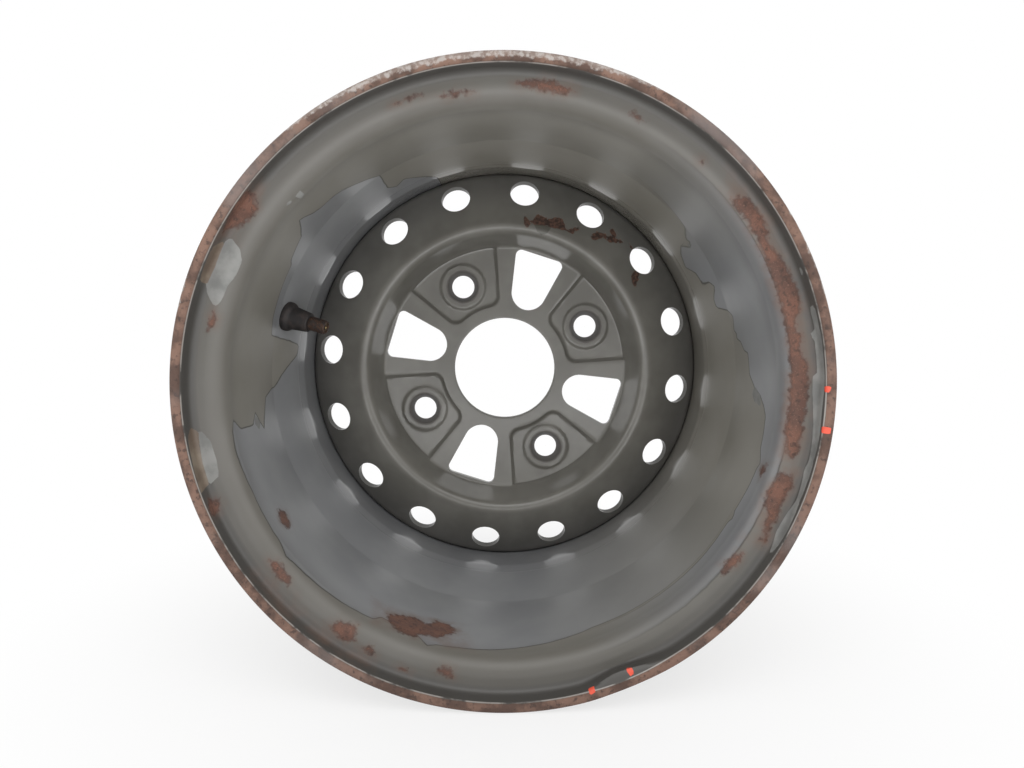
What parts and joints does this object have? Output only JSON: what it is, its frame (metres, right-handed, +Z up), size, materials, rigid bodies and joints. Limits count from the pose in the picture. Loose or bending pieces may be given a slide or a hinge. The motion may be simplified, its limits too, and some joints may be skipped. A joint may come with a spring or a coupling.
{
  "type": "quad bike wheel",
  "caption": "Bare pressed-steel wheel with a deep outer dish: rolled rim, stamped centre disc with vents, windows and recessed lug pads, and a short snap-in tyre valve.",
  "frame": {"origin": "the wheel's centre: on the axis, halfway across the rim's width", "axes": "+Y along the wheel's axis, from the outer side towards the hub; +Z up; the outer side, with the valve, faces -Y"},
  "size_m": [0.288, 0.19, 0.288],
  "materials": {
    "rim_paint": "old satin grey paint, peeling to a glossier blue-grey coat, rust on the lips",
    "disc_paint": "old satin olive-grey paint with chips",
    "weld_paint": "painted weld runs",
    "valve_rubber": "dusty black rubber",
    "valve_brass": "dirty tarnished brass, threaded",
    "core_brass": "turned brass",
    "core_gasket": "plastic sealing ring",
    "core_pin": "bright turned brass",
    "pin_seal": "black rubber seal",
    "spring_steel": "spring wire"
  },
  "bodies": {
    "wheel": {"rim": "rim_paint", "disc": "disc_paint", "disc_weld": "weld_paint", "valve_rubber": "valve_rubber", "valve_stem": "valve_brass", "core_plug": "core_brass", "core_gasket": "core_gasket", "core_barrel": "core_brass", "core_spring": "spring_steel"},
    "valve_pin": {"core_pin": "core_pin", "pin_cup": "core_brass", "pin_seal": "pin_seal"}
  },
  "joints": [
    {"name": "valve_pin_press", "type": "slide", "parent": "wheel", "child": "valve_pin", "axis": [-0.943, 0.2012, 0.2651], "range_m": [0, 0.0012], "stiffness_N_per_m": 1500, "springref_m": -0.0008, "deforming": ["core_spring"]}
  ]
}
